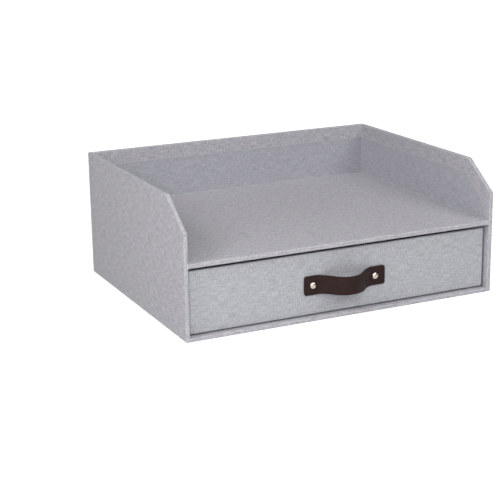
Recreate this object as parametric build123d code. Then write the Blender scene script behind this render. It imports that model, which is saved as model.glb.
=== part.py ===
"""Desk organizer: an open letter tray over one drawer, in paper-covered fibreboard.

Frame: the origin is the middle of the footprint on the desk, +X right, -Y front, +Z up.
All sizes are millimetres.
"""
from build123d import *
import os
from math import atan2, degrees, hypot, tan

# --- overall size of the case -------------------------------------------------------
case_width = 330.0
case_depth = 255.0
case_height = 130.0

# --- stock ----------------------------------------------------------------------------
case_board = 3.0        # walls and base of the case
shelf_board = 3.5       # the shelf carries the stacked letters, so its board is thicker
drawer_board = 2.5
cover = 0.4             # linen-embossed covering paper
lining = 0.4            # plain-woven lining paper
sole = 0.4              # closing sheet under the case and under the drawer

# --- tray -----------------------------------------------------------------------------
tray_floor = 74.0       # height of the shelf's upper face
chamfer_run = 39.0      # how far the sloped corner reaches back along the rim
chamfer_drop = 28.0     # how far it comes down the front edge

# --- how the paper is folded --------------------------------------------------------
turn_in = 15.0          # paper turned over a rim or a front edge
fold_radius = 1.2       # outside of a fold over a board's edge
board_paring = 0.5      # flat pared off that edge, each way, which keeps the paper's thickness
mitre_slit = 0.3        # open line between two turned-in flaps
corner_tab = 2.0        # paper lapped round the tray's back corners
sole_inset = 3.0        # closing sheet's margin inside the footprint

# --- drawer ---------------------------------------------------------------------------
front_recess = 6.0      # drawer front behind the case's front edges
side_gap = 2.0          # each side, to the turned-in paper of the case
top_gap = 3.8
run_gap = 0.9           # between the drawer's sole and the bay's floor
back_gap = 1.0

# --- pull -----------------------------------------------------------------------------
strap_length = 85.0     # between its ends, as fitted
strap_width = 19.5
strap_thick = 2.1
strap_height = 34.5     # centre line above the desk
strap_bow = 18.0        # how far the middle stands off the drawer front
strap_foot = 22.5       # half distance between the corners where it leaves the front
strap_crest = 8.0       # half width of its crest
strap_corner = 2.0
bend_share = 0.95       # of the straight beside a bend, what the bend takes up
rivet_spacing = 67.0
rivet_head = 7.2
rivet_dome = 2.0
rivet_shank = 3.0
shank_fit = 0.1         # all round, in the strap and the drawer front
cap_size = 8.0          # cap that closes the rivet inside the drawer
cap_dome = 1.3

# --- faces across the case, worked out from outside to inside -----------------------
side_out = case_width / 2
side_board_out = side_out - cover
side_board_in = side_board_out - case_board
side_lined = side_board_in - lining
side_turned = side_lined - cover

front = -case_depth / 2
back = case_depth / 2
back_board_out = back - cover
back_board_in = back_board_out - case_board
back_lined = back_board_in - lining
back_turned = back_lined - cover
front_board = front + cover

# --- levels from the desk up ---------------------------------------------------------
base_low = sole + cover
base_top = base_low + case_board
bay_floor = base_top + cover
shelf_top = tray_floor - cover
shelf_low = shelf_top - shelf_board
bay_ceiling = shelf_low - lining
shelf_flap_low = bay_ceiling - cover
board_top = case_height - cover

# --- faces of the drawer --------------------------------------------------------------
drawer_out = side_turned - side_gap
drawer_board_out = drawer_out - cover
drawer_board_in = drawer_board_out - drawer_board
drawer_lined = drawer_board_in - lining
drawer_turned = drawer_lined - cover
drawer_wall = drawer_out - drawer_turned

drawer_front = front + front_recess
drawer_back = back_lined - back_gap
drawer_low = bay_floor + run_gap
drawer_top = shelf_flap_low - top_gap
drawer_base_low = drawer_low + sole + cover
drawer_base_top = drawer_base_low + drawer_board
drawer_floor = drawer_base_top + lining
drawer_board_top = drawer_top - cover

nodes = {}


def slab(x0, x1, y0, y1, z0, z1):
    """A box given by the places of its six faces."""
    centre = ((x0 + x1) / 2, (y0 + y1) / 2, (z0 + z1) / 2)
    return Pos(*centre) * Box(abs(x1 - x0), abs(y1 - y0), abs(z1 - z0))


def ring(half_x, y0, y1, wall, z0, z1):
    """A rectangular ring: outer half width and ends, and the wall inside them."""
    outer = slab(-half_x, half_x, y0, y1, z0, z1)
    inner = slab(-half_x + wall, half_x - wall, y0 + wall, y1 - wall, z0, z1)
    return outer - inner


def chamfer_corners(inset):
    """Upper and lower corner (y, z) of the sloped edge, moved into the wall by inset."""
    slope = hypot(chamfer_run, chamfer_drop)
    upper = (front + chamfer_run + inset * (slope - chamfer_run) / chamfer_drop, case_height - inset)
    lower = (front + inset, case_height - chamfer_drop - inset * (slope - chamfer_drop) / chamfer_run)
    return upper, lower


def side_plate(side, inset, x0, x1, low, end):
    """A plate with the side wall's outline, its rim, slope and front edge moved in by inset."""
    upper, lower = chamfer_corners(inset)
    outline = Polyline((front + inset, low), lower, upper, (end, case_height - inset), (end, low), close=True)
    face = Plane.YZ * make_face(outline)
    plate = extrude(face, amount=abs(x1 - x0), dir=(1, 0, 0))
    return Pos(min(side * x0, side * x1), 0, 0) * plate


def slit(side, start, end, depth):
    """A thin blade along a mitre line in the side wall's plane, from start to end (y, z)."""
    run = (end[0] - start[0], end[1] - start[1])
    length = hypot(*run) + 2 * mitre_slit
    tilt = degrees(atan2(run[1], run[0]))
    blade = Box(2 * depth, length, mitre_slit)
    middle = ((start[0] + end[0]) / 2, (start[1] + end[1]) / 2)
    return Pos(side * side_turned, *middle) * Rot(tilt, 0, 0) * blade


# --- blocks with eased edges, for the paper outside and the boards inside -------------------
def ease(folds, inset):
    """Paper goes round a fold in an arc, and the board inside it has that edge pared flat."""
    if inset:
        return chamfer(folds, board_paring)
    return fillet(folds, fold_radius)


def walls_block(inset):
    """The case's three walls as one block, with every face moved in by inset."""
    low = sole + inset
    inner = back_turned + inset
    walls = slab(inset - side_out, side_out - inset, inner, back - inset, low, case_height - inset)
    for side in (-1, 1):
        walls += side_plate(side, inset, side_turned + inset, side_out - inset, low, back - inset)
    folds = []
    for edge in walls.edges():
        box = edge.bounding_box()
        middle = edge.center()
        inside = abs(middle.X) < side_board_in and middle.Y < back_board_in
        if box.max.Z > low + fold_radius:
            inside = box.size.Z > tray_floor and abs(middle.Y - inner) < cover
        if not inside:
            folds.append(edge)
    return ease(folds, inset)


def nose_block(low, high, inset):
    """A board between the sides with its paper, faces moved in by inset, and its front edges eased."""
    block = slab(-side_board_in, side_board_in, front + inset, back_board_in, low + inset, high - inset)
    nose = block.faces().sort_by(Axis.Y)[0].edges().filter_by(Axis.X)
    return ease(nose, inset)


def drawer_block(inset):
    """The drawer's four walls as one ring, with every face moved in by inset."""
    low = drawer_low + sole + inset
    wall = drawer_wall - 2 * inset
    block = ring(drawer_out - inset, drawer_front + inset, drawer_back - inset, wall, low, drawer_top - inset)
    skin = cover + drawer_board
    folds = []
    for edge in block.edges():
        middle = edge.center()
        inside = abs(middle.X) < drawer_board_in and drawer_front + skin < middle.Y < drawer_back - skin
        if middle.Z > drawer_top - fold_radius or not inside:
            folds.append(edge)
    return ease(folds, inset)


# --- boards of the case -----------------------------------------------------------------
def case_boards():
    """Five boards: the sides run full depth, and base, shelf and back stand between them."""
    span = (-side_board_in, side_board_in)
    core = walls_block(cover)
    base_core = nose_block(sole, bay_floor, cover)
    shelf_core = nose_block(shelf_flap_low, tray_floor, cover)
    nodes["base_board"] = slab(*span, front_board, back_board_in, base_low, base_top) & base_core
    nodes["shelf_board"] = slab(*span, front_board, back_board_in, shelf_low, shelf_top) & shelf_core
    nodes["back_board"] = slab(*span, back_board_in, back_board_out, base_low, board_top) & core
    for name, side in (("left_side_board", -1), ("right_side_board", 1)):
        plate = side_plate(side, cover, side_board_in, side_board_out, base_low, back_board_out)
        nodes[name] = plate & core


# --- covering paper of the case ---------------------------------------------------------
def case_wrap():
    """One sheet round left, back and right walls, turned in over rims, slopes and front edges."""
    sheet = walls_block(0) - walls_block(cover)
    # beyond the flaps the walls' inner faces are left to the linings
    sheet -= slab(-side_lined, side_lined, back_turned, back_lined, base_low, case_height - turn_in)
    sheet += slab(-side_turned, side_turned, back - turn_in, back_turned, sole, base_low)
    for side in (-1, 1):
        sheet -= side_plate(side, turn_in, side_turned, side_lined, base_low, back_lined)
        for outer, inner in zip(chamfer_corners(cover), chamfer_corners(turn_in)):
            sheet -= slit(side, outer, inner, cover)
        under = slab(side * (side_out - turn_in), side * side_turned, front, back_turned, sole, base_low)
        sheet += under & nose_block(sole, bay_floor, 0)
        sheet += slab(side * (side_turned - corner_tab), side * side_turned,
                      back_turned - cover, back_turned, case_height - turn_in, case_height - fold_radius)
    # the shelf and the base reach the side boards through gaps in the front flaps
    reach = (-side_board_in, side_board_in, front, front + turn_in)
    sheet -= slab(*reach, bay_ceiling, tray_floor)
    sheet -= slab(*reach, base_low, bay_floor)
    return sheet


def nose_sheet(low, high, flap_half):
    """Sheet over a board, folded round its front edge and turned under as far as the flap goes."""
    sheet = nose_block(low, high, 0) - nose_block(low, high, cover)
    sheet -= slab(-side_board_in, side_board_in, front + turn_in, back_board_in, low, low + cover)
    for side in (-1, 1):
        sheet -= slab(side * flap_half, side * side_board_in, front, back_board_in, low, low + cover)
    return sheet


def case_sheets():
    """Covering sheets of shelf and base, linings of tray and bay, and the sole."""
    span = (-side_board_in, side_board_in)
    under = side_out - turn_in
    nodes["shelf_wrap"] = nose_sheet(shelf_flap_low, tray_floor, side_turned)
    nodes["base_wrap"] = nose_sheet(sole, bay_floor, under)

    core = walls_block(cover)
    for name, side in (("left", -1), ("right", 1)):
        tray_side = side_plate(side, cover, side_lined, side_board_in, tray_floor, back_board_in)
        nodes[f"tray_{name}_lining"] = tray_side & core
        bay_side = slab(
            side * side_lined, side * side_board_in, front_board, back_board_in, bay_floor, bay_ceiling)
        nodes[f"bay_{name}_lining"] = bay_side & core
    lined = (-side_lined, side_lined, back_lined, back_board_in)
    nodes["tray_back_lining"] = slab(*lined, tray_floor, board_top) & core
    nodes["bay_back_lining"] = slab(*lined, bay_floor, bay_ceiling)
    ceiling = slab(*span, front_board, back_board_in, bay_ceiling, shelf_low)
    nodes["bay_ceiling_lining"] = ceiling & nose_block(shelf_flap_low, tray_floor, cover)

    margin = side_out - sole_inset
    closing = slab(-margin, margin, front + sole_inset, back - sole_inset, 0, sole)
    closing += slab(-under, under, front + turn_in, back - turn_in, sole, base_low)
    nodes["base_sole"] = closing


# --- drawer -------------------------------------------------------------------------------
def drawer_boards():
    """A box of five boards: front and back between the sides, the base inside all four."""
    y_out = (drawer_front + cover, drawer_back - cover)
    y_in = (y_out[0] + drawer_board, y_out[1] - drawer_board)
    between = (-drawer_board_in, drawer_board_in)
    walls = (drawer_base_low, drawer_board_top)
    core = drawer_block(cover)
    nodes["drawer_front_board"] = slab(*between, y_out[0], y_in[0], *walls) & core
    nodes["drawer_back_board"] = slab(*between, y_in[1], y_out[1], *walls) & core
    nodes["drawer_base_board"] = slab(*between, *y_in, drawer_base_low, drawer_base_top)
    for name, side in (("left", -1), ("right", 1)):
        wall = slab(side * drawer_board_in, side * drawer_board_out, *y_out, *walls)
        nodes[f"drawer_{name}_board"] = wall & core


def drawer_sheets():
    """Covering paper round the four walls, linings inside and the sole beneath."""
    low = drawer_low + sole
    inside = (drawer_lined, drawer_front + drawer_wall - cover, drawer_back - drawer_wall + cover)
    core = drawer_block(cover)
    wrap = drawer_block(0) - core
    wrap -= ring(*inside, cover, low, drawer_top - turn_in)
    wrap += ring(drawer_lined, inside[1], inside[2], turn_in - drawer_wall + cover, low, drawer_base_low)
    nodes["drawer_wrap"] = wrap

    wall_lining = ring(drawer_board_in, inside[1] - lining, inside[2] + lining, lining,
                       drawer_base_top, drawer_board_top)
    nodes["drawer_wall_lining"] = wall_lining & core
    nodes["drawer_floor_lining"] = slab(
        -drawer_lined, drawer_lined, inside[1], inside[2], drawer_base_top, drawer_floor)

    margin = drawer_out - sole_inset
    under = drawer_out - turn_in
    closing = slab(-margin, margin, drawer_front + sole_inset, drawer_back - sole_inset, drawer_low, low)
    closing += slab(-under, under, drawer_front + turn_in, drawer_back - turn_in, low, drawer_base_low)
    nodes["drawer_sole"] = closing


# --- pull ---------------------------------------------------------------------------------
def pull_strap():
    """Leather strap, flat under its rivets and bowed out between them for the fingers."""
    slant = atan2(strap_bow, strap_foot - strap_crest)
    flank = hypot(strap_bow, strap_foot - strap_crest)
    crest_run = min(strap_crest, flank / 2) * bend_share
    foot_run = min(rivet_spacing / 2 - rivet_head / 2 - strap_foot, flank - crest_run) * bend_share
    crest_radius = crest_run / tan(slant / 2)
    foot_radius = foot_run / tan(slant / 2)
    seat = drawer_front - strap_thick / 2
    crown = seat - strap_bow
    end = strap_length / 2
    path = FilletPolyline(
        (-end, seat), (-strap_foot, seat), (-strap_crest, crown),
        (strap_crest, crown), (strap_foot, seat), (end, seat),
        radius=[foot_radius, crest_radius, crest_radius, foot_radius],
    )
    section = Plane(origin=path @ 0, x_dir=(0, 1, 0), z_dir=path % 0) * Rectangle(strap_thick, strap_width)
    strap = sweep(section, path)
    corners = [edge for edge in strap.edges().filter_by(Axis.Y) if abs(edge.center().X) > rivet_spacing / 2]
    strap = fillet(corners, strap_corner)
    for side in (-1, 1):
        strap -= rivet_bore(side, seat)
    return Pos(0, 0, strap_height) * strap


def rivet_bore(side, middle):
    """Hole for a rivet's shank, along Y."""
    hole = Cylinder(rivet_shank / 2 + shank_fit, 4 * strap_thick)
    return Pos(side * rivet_spacing / 2, middle, 0) * Rot(90, 0, 0) * hole


def domed_disc(diameter, dome):
    """A low dome standing on the XY plane."""
    radius = diameter / 2
    profile = make_face([
        Line((0, 0), (radius, 0)),
        RadiusArc((radius, 0), (0, dome), -(radius ** 2 + dome ** 2) / (2 * dome)),
        Line((0, dome), (0, 0)),
    ])
    return revolve(Plane.XZ * profile, Axis.Z)


def rivets():
    """Two domed rivets through the strap and the drawer front, closed by caps inside."""
    outside = drawer_front - strap_thick
    inside = drawer_front + drawer_wall - cover
    shank_end = inside + cap_dome / 2
    shank_length = shank_end - outside
    posts = []
    caps = []
    for side in (-1, 1):
        place = Pos(side * rivet_spacing / 2, 0, strap_height)
        head = Pos(0, outside, 0) * Rot(90, 0, 0) * domed_disc(rivet_head, rivet_dome)
        shank = Pos(0, outside + shank_length / 2, 0) * Rot(90, 0, 0) * Cylinder(rivet_shank / 2, shank_length)
        cap = Pos(0, inside, 0) * Rot(-90, 0, 0) * domed_disc(cap_size, cap_dome)
        posts.append(place * (head + shank))
        caps.append(place * (cap - shank))
    nodes["rivet_posts"] = Compound(posts)
    nodes["rivet_caps"] = Compound(caps)


def bore_drawer_front():
    """Holes for the shanks through paper, board and lining of the drawer front."""
    through = drawer_wall * 2
    for name in ("drawer_wrap", "drawer_front_board", "drawer_wall_lining"):
        for side in (-1, 1):
            hole = Rot(90, 0, 0) * Cylinder(rivet_shank / 2 + shank_fit, through)
            nodes[name] -= Pos(side * rivet_spacing / 2, drawer_front, strap_height) * hole


case_boards()
nodes["case_wrap"] = case_wrap()
case_sheets()
drawer_boards()
drawer_sheets()
nodes["pull_strap"] = pull_strap()
rivets()
bore_drawer_front()

os.makedirs("parts", exist_ok=True)
for node, shape in nodes.items():
    export_step(shape, f"parts/{node}.step")
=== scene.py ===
"""The looks of the desk organizer: linen-embossed paper, a leather pull and nickel rivets.

Lengths are metres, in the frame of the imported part: +X right, -Y front, +Z up.
"""
import math

import bmesh
import bpy
from mathutils import Matrix, Vector


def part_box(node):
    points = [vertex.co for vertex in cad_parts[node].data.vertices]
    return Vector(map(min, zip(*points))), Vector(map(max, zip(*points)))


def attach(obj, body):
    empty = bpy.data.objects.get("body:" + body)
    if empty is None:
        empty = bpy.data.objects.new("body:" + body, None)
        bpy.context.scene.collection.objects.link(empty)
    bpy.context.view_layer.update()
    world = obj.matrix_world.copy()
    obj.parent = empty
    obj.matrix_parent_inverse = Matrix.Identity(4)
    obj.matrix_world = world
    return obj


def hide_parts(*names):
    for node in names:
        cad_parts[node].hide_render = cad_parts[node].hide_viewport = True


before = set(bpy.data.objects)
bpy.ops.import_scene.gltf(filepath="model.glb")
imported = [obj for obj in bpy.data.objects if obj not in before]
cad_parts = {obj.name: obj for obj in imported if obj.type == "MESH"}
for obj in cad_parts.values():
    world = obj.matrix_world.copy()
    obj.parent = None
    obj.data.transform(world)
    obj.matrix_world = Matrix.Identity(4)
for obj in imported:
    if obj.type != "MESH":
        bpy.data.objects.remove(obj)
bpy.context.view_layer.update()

MM = 0.001

# --- camera -----------------------------------------------------------------------------
PICTURE = 500                         # pixels across, and down
SENSOR = 36.0                         # mm
FOCAL_PIXELS = 1329.5
CAMERA_AZIMUTH = -25.26               # degrees, 0 looks along +Y
CAMERA_ELEVATION = 15.86
CAMERA_ROLL = -0.87
CAMERA_DISTANCE = 1348.3 * MM
CAMERA_TARGET = (-40.1 * MM, 0.0, 39.1 * MM)
CAMERA_REACH = 100                    # metres, to the end of what it sees

# --- light: name, place, size, watts ------------------------------------------------------
LIGHTS = [
    ("left_softbox", (-1.20, -0.45, 0.95), 0.6, 8.4),
    ("front_left_softbox", (-0.45, -0.80, 0.45), 0.4, 3.2),
    ("front_right_softbox", (0.45, -0.75, 0.65), 0.4, 2.8),
    ("top_softbox", (0.0, -0.1, 1.40), 0.9, 4.4),
    ("back_fill", (0.25, 1.50, 0.30), 0.7, 3.5),
]
LIGHT_AIM = (0, 0, 0.05)              # what every lamp points at
WORLD_LIGHT = 0.06                    # the dim room's own light on the object
TABLE_SIZE = 12
TABLE_GLOW = 0.24                     # the white table's own light, on the object as well
TABLE_WHITE = (0.5, 0.76)             # and what the camera sees besides, near and far
TABLE_FAR = (0.35, 1.2)               # metres out between near and far
DARK_SIDE = (0.83, -0.43, 0.35)       # towards the unlit gap between softboxes, for metal
DARK_LENGTH = (0.62, 0.68)            # cosines between which the gap fades in along its length
DARK_SLANT = (0.497, 0.296, -0.815)   # across the gap
DARK_HALF = (0.46, 0.4)               # cosines between which it fades in across
DARK_LIGHT = 0.02                     # what light is left in it

# --- covering paper: features to the millimetre, across and along the sheet ----------------
SLUBS = ((1.2, 0.2), (0.1, 1.2))
WARP_DRIFT = (0.12, 0.05)
WARP_PATCHES = (0.05, 0.08)
WEFT_DRIFT = (0.04, 0.1)
WEFT_PATCHES = (0.07, 0.045)
WARP_PITCH = 1.8                      # millimetres between thread lines
WEFT_PITCH = 1.9
THREAD_WANDER = 14.0                  # radians that a thread line drifts at most
HATCH_SHARE = 0.14                    # weight of the thread lines beside the slubs
FOLD_REACH = 1.3                      # millimetres from a fold that its wear and painted highlight reach
FOLD_TURN = (0.995, 0.85)             # cosines between which the wear and painted highlight fade in
TURNED = 0.7                          # share of a normal from which a face is turned that way

# --- strap: place along it, bow out of the seat plane, and width, millimetres -------------
STRAP_LINE = [
    (-27.5, 0.3, 18.4), (-22.5, 2.6, 18.1), (-18.0, 7.6, 17.9), (-13.0, 13.4, 17.8),
    (-7.0, 17.5, 17.7), (0.0, 18.3, 17.7), (7.0, 17.1, 17.9), (12.5, 13.6, 18.1),
    (17.5, 8.6, 18.3), (22.5, 3.6, 18.5), (28.0, 0.5, 18.6),
]
STRAP_THICK = 2.1
STRAP_WIDTH = 18.7                    # at its ends
STRAP_TAIL = 1.9                      # how much longer it runs on past the right rivet
STRAP_CORNER = 2.2
STRAP_EDGE = 0.35                     # burnished round on the long edges
BURNISHED = 55                        # degrees, from which an edge is burnished
RIVET_APART = 67.0
RIVET_FIELD = 4.2                     # half of the square worked round each hole
HOLE = 1.6                            # radius

# --- rivet head and cap: ring radius and height above the seat, millimetres ---------------
HEAD_RINGS = [
    (3.35, 0.0), (3.4, 0.12), (3.4, 0.42), (3.3, 0.62), (3.0, 0.98), (2.55, 1.34), (1.9, 1.67),
    (1.1, 1.88), (0.5, 1.95),
]
CAP_RINGS = [
    (3.95, 0.0), (4.0, 0.1), (4.0, 0.3), (3.85, 0.5), (3.4, 0.8), (2.6, 1.08), (1.5, 1.26),
    (0.6, 1.3),
]
ROUND_SIDES = 24
SHANK = 1.5                           # radius
SHANK_TAIL = 0.5                      # how far it runs on into the cap
SHANK_RIM = 0.2                       # ring that keeps its end flat when it is rounded

# --- work on a mesh, millimetres -----------------------------------------------------------
AT = 0.01                             # a point this near to a place is at that place
MID_FIELD = 0.5                       # what lies this near to a hole's centre is in its middle
MERGED = 0.001                        # points this near to each other become one
SMOOTHED = 50                         # degrees, up to which an edge is shaded smooth


# --- small helpers ------------------------------------------------------------------------
def linear(code):
    """An sRGB hex colour as the linear RGBA that Blender's sockets take."""
    channels = [int(code[i:i + 2], 16) / 255 for i in (1, 3, 5)]
    return (*[c / 12.92 if c <= 0.04045 else ((c + 0.055) / 1.055) ** 2.4 for c in channels], 1.0)


def add(tree, kind, inputs=None, **settings):
    """One shader node with its settings, and its inputs as values or links."""
    made = tree.nodes.new("ShaderNode" + kind)
    for name, value in settings.items():
        setattr(made, name, value)
    for socket, value in (inputs or {}).items():
        if isinstance(value, bpy.types.NodeSocket):
            tree.links.new(value, made.inputs[socket])
        else:
            made.inputs[socket].default_value = value
    return made


def new_material(name):
    """An empty node material, ready for its nodes."""
    material = bpy.data.materials.new(name)
    material.use_nodes = True
    material.node_tree.nodes.clear()
    return material, material.node_tree


# --- materials ------------------------------------------------------------------------------
def linen_paper(name, light, dark, fold, relief):
    """Covering paper embossed between rollers with a linen weave: broken threads both ways.

    The eye gets a fine cross-hatch that comes and goes, with short light and dark slubs
    both ways, and a paler line along the edges: partly where a fold has stretched the
    emboss, partly a painted highlight. A real thread is 0.5 mm; the hatch is drawn at 1.8
    and 1.9 mm, and the slubs at 0.8 by 5 mm one way and 0.8 by 10 mm the other, the finest
    that still shows in the picture.
    """
    material, tree = new_material(name)
    place = add(tree, "TexCoord").outputs["Object"]
    millimetres = add(tree, "VectorMath", {0: place, "Scale": 1 / MM}, operation="SCALE").outputs[0]
    at = add(tree, "SeparateXYZ", {0: millimetres}).outputs
    normal = add(tree, "NewGeometry").outputs["Normal"]
    absolute = add(tree, "VectorMath", {0: normal}, operation="ABSOLUTE").outputs[0]
    facing = add(tree, "SeparateXYZ", {0: absolute}).outputs
    sideways = add(tree, "Math", {0: facing["X"], 1: TURNED}, operation="GREATER_THAN").outputs[0]
    level = add(tree, "Math", {0: facing["Z"], 1: TURNED}, operation="GREATER_THAN").outputs[0]
    across = add(tree, "Mix", {0: sideways, 2: at["X"], 3: at["Y"]}).outputs[0]
    along = add(tree, "Mix", {0: level, 2: at["Z"], 3: at["Y"]}).outputs[0]
    sheet = add(tree, "CombineXYZ", {"X": across, "Y": along, "Z": facing["X"]}).outputs[0]

    def streaks(features, detail):
        """Uneven streaks, with so many features to the millimetre each way of the sheet."""
        stretched = add(tree, "VectorMath", {0: sheet, 1: (*features, 1.0)}, operation="MULTIPLY")
        return add(tree, "TexNoise", {"Vector": stretched.outputs[0], "Scale": 1.0,
                                      "Detail": detail, "Roughness": 0.55}).outputs[0]

    def hatch(over, pitch, drift, patches):
        """Thread lines a pitch apart that wander a little, and show only in patches."""
        turn = add(tree, "Math", {0: over, 1: 2 * math.pi / pitch},
                   operation="MULTIPLY").outputs[0]
        phase = add(tree, "Math", {0: drift, 1: THREAD_WANDER, 2: turn},
                    operation="MULTIPLY_ADD").outputs[0]
        line = add(tree, "Math", {0: phase}, operation="SINE").outputs[0]
        shown = add(tree, "MapRange", {"Value": patches, "From Min": 0.38,
                                       "From Max": 0.68}).outputs[0]
        return add(tree, "Math", {0: line, 1: shown}, operation="MULTIPLY").outputs[0]

    slubs = add(tree, "Math", {0: streaks(SLUBS[0], 2.0), 1: streaks(SLUBS[1], 2.0)},
                operation="ADD").outputs[0]
    warp = hatch(across, WARP_PITCH, streaks(WARP_DRIFT, 1.0), streaks(WARP_PATCHES, 1.0))
    weft = hatch(along, WEFT_PITCH, streaks(WEFT_DRIFT, 1.0), streaks(WEFT_PATCHES, 1.0))
    lines = add(tree, "Math", {0: warp, 1: weft}, operation="ADD").outputs[0]
    weave = add(tree, "Math", {0: lines, 1: HATCH_SHARE, 2: slubs},
                operation="MULTIPLY_ADD").outputs[0]
    tone = add(tree, "MapRange", {"Value": weave, "From Min": 0.74, "From Max": 1.26}).outputs[0]
    printed = add(tree, "Mix", {0: tone, 6: linear(dark), 7: linear(light)},
                  data_type="RGBA").outputs[2]
    # Paler along every edge, convex or concave: partly wear where a fold stretched the emboss, partly
    # a painted highlight.
    eased = add(tree, "Bevel", {"Radius": FOLD_REACH * MM}, samples=6).outputs[0]
    turned = add(tree, "VectorMath", {0: eased, 1: normal}, operation="DOT_PRODUCT").outputs["Value"]
    creased = add(tree, "MapRange", {"Value": turned, "From Min": FOLD_TURN[0],
                                     "From Max": FOLD_TURN[1]}).outputs[0]
    worn_and_highlit = add(tree, "Math", {0: creased, 1: weave}, operation="MULTIPLY").outputs[0]
    colour = add(tree, "Mix", {0: worn_and_highlit, 6: printed, 7: linear(fold)}, data_type="RGBA").outputs[2]
    bump = add(tree, "Bump", {"Height": weave, "Strength": relief, "Distance": 0.12 * MM}).outputs[0]
    shader = add(tree, "BsdfPrincipled", {"Base Color": colour, "Normal": bump, "Roughness": 0.78,
                                          "Specular IOR Level": 0.3})
    add(tree, "OutputMaterial", {"Surface": shader.outputs[0]})
    return material


def closing_sheet():
    """Machine-glazed grey paper under case and drawer: clouded fibres, a faint scuffed gloss.

    Its clouds are 6 mm across and its fibres 0.9 mm.
    """
    material, tree = new_material("machine_glazed_sole_paper")
    place = add(tree, "TexCoord").outputs["Object"]
    clouds = add(tree, "TexNoise", {"Vector": place, "Scale": 1 / (6 * MM),
                                    "Detail": 4.0}).outputs[0]
    fibres = add(tree, "TexNoise", {"Vector": place, "Scale": 1 / (0.9 * MM), "Detail": 2.0,
                                    "Distortion": 1.5}).outputs[0]
    tone = add(tree, "Math", {0: clouds, 1: fibres}, operation="MULTIPLY_ADD").outputs[0]
    colour = add(tree, "Mix", {0: tone, 6: linear("#85858A"), 7: linear("#A2A2A7")},
                 data_type="RGBA").outputs[2]
    gloss = add(tree, "MapRange", {"Value": clouds, "From Min": 0.3, "From Max": 0.7,
                                   "To Min": 0.5, "To Max": 0.7}).outputs[0]
    bump = add(tree, "Bump", {"Height": fibres, "Strength": 0.15, "Distance": 0.05 * MM}).outputs[0]
    shader = add(tree, "BsdfPrincipled", {"Base Color": colour, "Normal": bump,
                                          "Roughness": gloss})
    add(tree, "OutputMaterial", {"Surface": shader.outputs[0]})
    return material


def fibreboard():
    """Solid grey-brown board of pulped waste paper: flecks, felted fibres, a dull cut edge.

    Its flecks are 1.6 mm across and its felt 0.7 mm.
    """
    material, tree = new_material("pulped_solid_fibreboard")
    place = add(tree, "TexCoord").outputs["Object"]
    flecks = add(tree, "TexVoronoi", {"Vector": place, "Scale": 1 / (1.6 * MM)}).outputs["Color"]
    fleck = add(tree, "SeparateColor", {0: flecks}).outputs[0]
    felt = add(tree, "TexNoise", {"Vector": place, "Scale": 1 / (0.7 * MM), "Detail": 3.0,
                                  "Distortion": 2.0}).outputs[0]
    mixed = add(tree, "Mix", {0: 0.35, 2: felt, 3: fleck}).outputs[0]
    colour = add(tree, "Mix", {0: mixed, 6: linear("#7C7268"), 7: linear("#A1978A")},
                 data_type="RGBA").outputs[2]
    bump = add(tree, "Bump", {"Height": felt, "Strength": 0.4, "Distance": 0.1 * MM}).outputs[0]
    shader = add(tree, "BsdfPrincipled", {"Base Color": colour, "Normal": bump, "Roughness": 0.92,
                                          "Specular IOR Level": 0.2})
    add(tree, "OutputMaterial", {"Surface": shader.outputs[0]})
    return material


def leather():
    """Vegetable-tanned leather, dyed and finished smooth: fine pebbled grain and a soft gloss.

    Real grain is 0.3 mm; it is drawn at 0.8 mm so that it shows.
    """
    material, tree = new_material("vegetable_tanned_leather")
    place = add(tree, "TexCoord").outputs["Object"]
    bent = add(tree, "TexNoise", {"Vector": place, "Scale": 1 / (3 * MM),
                                  "Detail": 2.0}).outputs["Color"]
    wander = add(tree, "VectorMath", {0: bent, "Scale": 0.8 * MM}, operation="SCALE").outputs[0]
    moved = add(tree, "VectorMath", {0: place, 1: wander}, operation="ADD").outputs[0]
    pebbles = add(tree, "TexVoronoi", {"Vector": moved, "Scale": 1 / (0.8 * MM)},
                  feature="DISTANCE_TO_EDGE").outputs["Distance"]
    grain = add(tree, "MapRange", {"Value": pebbles, "From Min": 0.0, "From Max": 0.25}).outputs[0]
    dye = add(tree, "TexNoise", {"Vector": place, "Scale": 1 / (9 * MM), "Detail": 3.0}).outputs[0]
    tone = add(tree, "Math", {0: dye, 1: grain}, operation="MULTIPLY").outputs[0]
    colour = add(tree, "Mix", {0: tone, 6: linear("#2A1C1B"), 7: linear("#3F2D2C")},
                 data_type="RGBA").outputs[2]
    gloss = add(tree, "MapRange", {"Value": dye, "From Min": 0.35, "From Max": 0.65,
                                   "To Min": 0.5, "To Max": 0.62}).outputs[0]
    bump = add(tree, "Bump", {"Height": grain, "Strength": 0.25, "Distance": 0.06 * MM}).outputs[0]
    shader = add(tree, "BsdfPrincipled", {"Base Color": colour, "Normal": bump,
                                          "Roughness": gloss, "Specular IOR Level": 0.12})
    add(tree, "OutputMaterial", {"Surface": shader.outputs[0]})
    return material


def nickel():
    """Bright nickel plate on a tumbled steel rivet: a warm white mirror, faintly hazed.

    The haze of tumbling and handling comes and goes over 1.2 mm.
    """
    material, tree = new_material("tumbled_nickel_plate")
    place = add(tree, "TexCoord").outputs["Object"]
    haze = add(tree, "TexNoise", {"Vector": place, "Scale": 1 / (1.2 * MM),
                                  "Detail": 3.0}).outputs[0]
    gloss = add(tree, "MapRange", {"Value": haze, "From Min": 0.35, "From Max": 0.7,
                                   "To Min": 0.09, "To Max": 0.17}).outputs[0]
    colour = add(tree, "Mix", {0: haze, 6: linear("#D3C8BB"), 7: linear("#E2D8CD")},
                 data_type="RGBA").outputs[2]
    shader = add(tree, "BsdfPrincipled", {"Base Color": colour, "Metallic": 1.0,
                                          "Roughness": gloss})
    add(tree, "OutputMaterial", {"Surface": shader.outputs[0]})
    return material


# The fourth colour of each paper is its paler edge line: part stretched emboss, part painted
# highlight.
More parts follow.
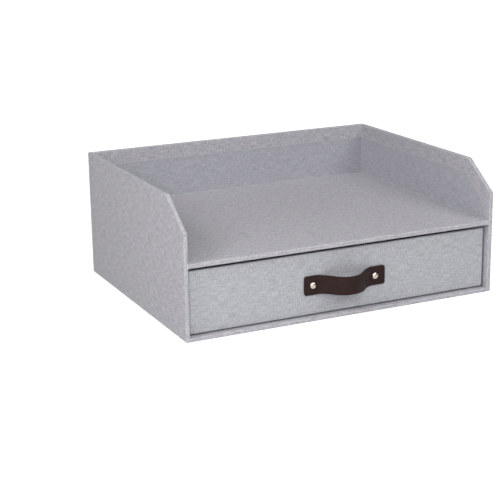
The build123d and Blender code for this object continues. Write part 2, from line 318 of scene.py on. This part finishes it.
cover = linen_paper("linen_embossed_cover_paper", "#CCCAD0", "#9B9AA0", "#CFCED3", 0.5)
drawer_cover = linen_paper("linen_embossed_drawer_paper", "#C5C6CB", "#A1A2A7", "#CDCED2", 0.5)
# The lining is the same paper as the cover, drawn a little darker as painted shade for the inside of
# the tray.
lining = linen_paper("linen_embossed_lining_paper", "#C0C0C8", "#9D9DA5", "#C8C8CE", 0.4)
sole = closing_sheet()
board = fibreboard()
hide = leather()
plate = nickel()

for name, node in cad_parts.items():
    finish = cover
    if name == "drawer_wrap":
        finish = drawer_cover
    elif name.endswith("_lining"):
        finish = lining
    elif name.endswith("_sole"):
        finish = sole
    elif name.endswith("_board"):
        finish = board
    for slot in node.material_slots:
        slot.material = finish


# --- modelling helpers ----------------------------------------------------------------------
def start_edit():
    """Put the new piece's place and size into its mesh, and open it for editing."""
    piece = bpy.context.object
    bpy.ops.object.transform_apply(location=True, rotation=True, scale=True)
    bpy.ops.object.mode_set(mode="EDIT")
    return piece


def pick(kind, wanted):
    """In edit mode, select only the vertices, edges or faces whose middle (mm) is wanted."""
    bpy.ops.mesh.select_mode(type=kind)
    bpy.ops.mesh.select_all(action="DESELECT")
    mesh = bmesh.from_edit_mesh(bpy.context.object.data)
    for item in {"VERT": mesh.verts, "EDGE": mesh.edges, "FACE": mesh.faces}[kind]:
        corners = [item.co] if kind == "VERT" else [corner.co for corner in item.verts]
        middle = sum(corners, Vector()) / len(corners) / MM
        if wanted(middle):
            item.select_set(True)
    mesh.select_flush_mode()
    bmesh.update_edit_mesh(bpy.context.object.data)


def finish_edit(piece, name, material, body, slot, *replaced):
    """Apply the piece's modifiers, turn its faces outwards, and name, dress and bind it."""
    bpy.ops.object.mode_set(mode="OBJECT")
    for modifier in list(piece.modifiers):
        bpy.ops.object.modifier_apply(modifier=modifier.name)
    bpy.ops.object.mode_set(mode="EDIT")
    bpy.ops.mesh.select_all(action="SELECT")
    bpy.ops.mesh.remove_doubles(threshold=MERGED * MM)
    bpy.ops.mesh.normals_make_consistent(inside=False)
    bpy.ops.object.mode_set(mode="OBJECT")
    bpy.ops.object.shade_smooth_by_angle(angle=math.radians(SMOOTHED))
    piece.name = piece.data.name = name
    piece.data.materials.append(material)
    bind(piece, body, slot, *replaced)


def bind(piece, body, slot, *replaced):
    """The piece rides on its body and stands for the nodes that it replaces; its slot is not used."""
    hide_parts(*replaced)
    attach(piece, body)


def second(piece, name, shift, body, slot, *replaced):
    """A copy with its own mesh, moved along X by shift millimetres."""
    copy = piece.copy()
    copy.data = piece.data.copy()
    copy.name = copy.data.name = name
    copy.parent = None
    copy.data.transform(Matrix.Translation((shift * MM, 0, 0)))
    bpy.context.collection.objects.link(copy)
    bind(copy, body, slot, *replaced)


# --- the pull ---------------------------------------------------------------------------------
def leather_strap():
    """A strip grown from its left end along its bow, then holed, thickened and rounded."""
    low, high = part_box("pull_strap")
    seat = high[1] / MM - STRAP_THICK / 2
    left, right = low[0] / MM, high[0] / MM + STRAP_TAIL
    middle = (low[2] + high[2]) / 2 / MM
    half = STRAP_WIDTH / 2
    rivet = RIVET_APART / 2
    first = -rivet - RIVET_FIELD
    line = [
        (RIVET_FIELD - rivet, 0.0, STRAP_WIDTH),
        *STRAP_LINE,
        (rivet - RIVET_FIELD, 0.0, STRAP_WIDTH),
        (rivet + RIVET_FIELD, 0.0, STRAP_WIDTH),
        (right, 0.0, STRAP_WIDTH),
    ]

    bpy.ops.object.select_all(action="DESELECT")
    bpy.ops.mesh.primitive_plane_add(size=1, rotation=(math.pi / 2, 0, 0),
                                     location=((left + first) / 2 * MM, seat * MM, middle * MM))
    bpy.context.object.scale = ((first - left) * MM, STRAP_WIDTH * MM, 1)
    strap = start_edit()
    at = (first, 0.0, STRAP_WIDTH)
    for point in line:
        edge_x = at[0]
        pick("EDGE", lambda m: abs(m.x - edge_x) < AT)
        step = ((point[0] - at[0]) * MM, -(point[1] - at[1]) * MM, 0)
        bpy.ops.mesh.extrude_region_move(TRANSFORM_OT_translate={"value": step})
        bpy.ops.transform.resize(value=(1, 1, point[2] / at[2]))
        at = point
    for height in (middle - RIVET_FIELD, middle + RIVET_FIELD):
        bpy.ops.mesh.select_all(action="SELECT")
        bpy.ops.mesh.bisect(plane_co=(0, 0, height * MM), plane_no=(0, 0, 1))
    pick("VERT", lambda m: min(m.x - left, right - m.x) < AT and abs(m.z - middle) > half - AT)
    bpy.ops.mesh.bevel(offset=STRAP_CORNER * MM, segments=4, affect="VERTICES")
    for centre in (-rivet, rivet):
        pick("FACE", lambda m: math.hypot(m.x - centre, m.z - middle) < MID_FIELD)
        bpy.ops.mesh.inset(thickness=(RIVET_FIELD - HOLE) * MM)
        bpy.ops.mesh.subdivide(number_cuts=1)
        pick("VERT", lambda m: math.hypot(m.x - centre, m.z - middle) < MID_FIELD)
        bpy.ops.mesh.delete(type="VERT")
        pick("VERT", lambda m: math.hypot(m.x - centre, m.z - middle) < 1.5 * HOLE)
        bpy.ops.transform.tosphere(value=1)
        ring = HOLE * (1 + math.sqrt(2)) / 2
        bpy.ops.transform.resize(value=(HOLE / ring,) * 3)
    thicken = strap.modifiers.new("thickness", "SOLIDIFY")
    thicken.thickness = STRAP_THICK * MM
    thicken.offset = 0
    burnish = strap.modifiers.new("burnished_edges", "BEVEL")
    burnish.width = STRAP_EDGE * MM
    burnish.segments = 2
    burnish.limit_method = "ANGLE"
    burnish.angle_limit = math.radians(BURNISHED)
    supple = strap.modifiers.new("supple", "SUBSURF")
    supple.levels = supple.render_levels = 2
    finish_edit(strap, "leather_pull", hide, "drawer", "strap_leather", "pull_strap")


def turned_button(rings, seat, centre, height, outward, shank):
    """A round head turned from its seat ring outward, with a shank from its back."""
    bpy.ops.object.select_all(action="DESELECT")
    bpy.ops.mesh.primitive_circle_add(vertices=ROUND_SIDES, radius=rings[0][0] * MM,
                                      fill_type="NGON", rotation=(math.pi / 2, 0, 0),
                                      location=(centre * MM, seat * MM, height * MM))
    button = start_edit()
    at = rings[0]
    for ring in rings[1:]:
        level = seat + outward * at[1]
        pick("FACE", lambda m: abs(m.y - level) < AT and math.hypot(m.x - centre, m.z - height) < AT)
        step = (0, outward * (ring[1] - at[1]) * MM, 0)
        bpy.ops.mesh.extrude_region_move(TRANSFORM_OT_translate={"value": step})
        growth = ring[0] / at[0]
        bpy.ops.transform.resize(value=(growth, 1, growth))
        at = ring
    if shank:
        pick("FACE", lambda m: abs(m.y - seat) < AT)
        bpy.ops.mesh.inset(thickness=(rings[0][0] - SHANK) * MM)
        step = (0, -outward * shank * MM, 0)
        bpy.ops.mesh.extrude_region_move(TRANSFORM_OT_translate={"value": step})
        bpy.ops.mesh.inset(thickness=SHANK_RIM * MM)
    rounding = button.modifiers.new("rounding", "SUBSURF")
    rounding.levels = rounding.render_levels = 2
    return button


def rivets():
    """Two rivets through strap and drawer front, and the caps that close them inside."""
    low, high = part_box("rivet_posts")
    height = (low[2] + high[2]) / 2 / MM
    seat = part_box("pull_strap")[1][1] / MM - STRAP_THICK
    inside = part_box("rivet_caps")[0][1] / MM
    centre = -RIVET_APART / 2
    head = turned_button(HEAD_RINGS, seat, centre, height, -1, inside - seat + SHANK_TAIL)
    finish_edit(head, "rivet_left", plate, "drawer", "nickel", "rivet_posts")
    second(head, "rivet_right", RIVET_APART, "drawer", "nickel", "rivet_posts")
    cap = turned_button(CAP_RINGS, inside, centre, height, 1, 0)
    finish_edit(cap, "rivet_cap_left", plate, "drawer", "nickel", "rivet_caps")
    second(cap, "rivet_cap_right", RIVET_APART, "drawer", "nickel", "rivet_caps")


# --- stage ----------------------------------------------------------------------------------
def stage():
    """A matt white table that keeps the object's soft shadow.

    It gives a little light of its own, and to the camera alone enough more to look white.
    """
    bpy.ops.object.select_all(action="DESELECT")
    bpy.ops.mesh.primitive_plane_add(size=TABLE_SIZE)
    floor = bpy.context.object
    floor.name = "floor"
    material, tree = new_material("matt_white_table")
    rays = add(tree, "LightPath").outputs
    place = add(tree, "TexCoord").outputs["Object"]
    out = add(tree, "VectorMath", {0: place}, operation="LENGTH").outputs["Value"]
    white = add(tree, "MapRange", {"Value": out, "From Min": TABLE_FAR[0], "From Max": TABLE_FAR[1],
                                   "To Min": TABLE_WHITE[0], "To Max": TABLE_WHITE[1]}).outputs[0]
    lift = add(tree, "Math", {0: rays["Is Camera Ray"], 1: white, 2: TABLE_GLOW},
               operation="MULTIPLY_ADD").outputs[0]
    paint = add(tree, "BsdfPrincipled", {"Base Color": linear("#D8D8D8"), "Roughness": 0.9,
                                         "Specular IOR Level": 0.1})
    glow = add(tree, "Emission", {"Color": (1, 1, 1, 1), "Strength": lift})
    both = add(tree, "AddShader", {0: paint.outputs[0], 1: glow.outputs[0]})
    add(tree, "OutputMaterial", {"Surface": both.outputs[0]})
    floor.data.materials.append(material)


def lights():
    """Softboxes in a dim even room.

    To the camera, in metal and through glass the room is plain white, apart from the unlit
    gap between the softboxes that metal mirrors.
    """
    world = bpy.data.worlds.new("studio")
    bpy.context.scene.world = world
    world.use_nodes = True
    tree = world.node_tree
    tree.nodes.clear()
    rays = add(tree, "LightPath").outputs
    seen = add(tree, "Math", {0: rays["Is Camera Ray"], 1: rays["Is Glossy Ray"]},
               operation="MAXIMUM").outputs[0]
    plain = add(tree, "Math", {0: seen, 1: rays["Is Transmission Ray"]},
                operation="MAXIMUM").outputs[0]
    room = add(tree, "MapRange", {"Value": plain, "To Min": WORLD_LIGHT, "To Max": 1.0}).outputs[0]
    way = add(tree, "TexCoord").outputs["Generated"]
    near = add(tree, "VectorMath", {0: way, 1: DARK_SIDE}, operation="DOT_PRODUCT").outputs["Value"]
    long = add(tree, "MapRange", {"Value": near, "From Min": DARK_LENGTH[0],
                                  "From Max": DARK_LENGTH[1]}).outputs[0]
    slant = add(tree, "VectorMath", {0: way, 1: DARK_SLANT}, operation="DOT_PRODUCT").outputs["Value"]
    aside = add(tree, "Math", {0: slant}, operation="ABSOLUTE").outputs[0]
    narrow = add(tree, "MapRange", {"Value": aside, "From Min": DARK_HALF[0],
                                    "From Max": DARK_HALF[1]}).outputs[0]
    dark = add(tree, "Math", {0: long, 1: narrow}, operation="MULTIPLY").outputs[0]
    mirrored = add(tree, "Math", {0: dark, 1: rays["Is Glossy Ray"]},
                   operation="MULTIPLY").outputs[0]
    strength = add(tree, "Mix", {0: mirrored, 2: room, 3: DARK_LIGHT}).outputs[0]
    shade = add(tree, "Background", {"Color": (1, 1, 1, 1), "Strength": strength})
    add(tree, "OutputWorld", {"Surface": shade.outputs[0]})

    for name, place, size, power in LIGHTS:
        data = bpy.data.lights.new(name, "AREA")
        data.energy = power
        data.size = size
        lamp = bpy.data.objects.new(name, data)
        lamp.location = place
        aim = Vector(LIGHT_AIM) - Vector(place)
        lamp.rotation_euler = aim.to_track_quat("-Z", "Y").to_euler()
        bpy.context.collection.objects.link(lamp)


def camera():
    """The photograph's point of view."""
    data = bpy.data.cameras.new("camera")
    data.sensor_width = SENSOR
    data.lens = SENSOR * FOCAL_PIXELS / PICTURE
    data.clip_end = CAMERA_REACH
    seen_from = bpy.data.objects.new("camera", data)
    azimuth = math.radians(CAMERA_AZIMUTH)
    elevation = math.radians(CAMERA_ELEVATION)
    back = Vector((math.sin(azimuth) * math.cos(elevation),
                   -math.cos(azimuth) * math.cos(elevation), math.sin(elevation)))
    level = (-back).to_track_quat("-Z", "Y")
    roll = Matrix.Rotation(math.radians(CAMERA_ROLL), 3, "Z").to_quaternion()
    seen_from.rotation_mode = "QUATERNION"
    seen_from.rotation_quaternion = level @ roll
    seen_from.location = Vector(CAMERA_TARGET) + back * CAMERA_DISTANCE
    bpy.context.collection.objects.link(seen_from)
    bpy.context.scene.camera = seen_from


leather_strap()
rivets()
bpy.context.scene.view_settings.view_transform = "Standard"
stage()
lights()
camera()
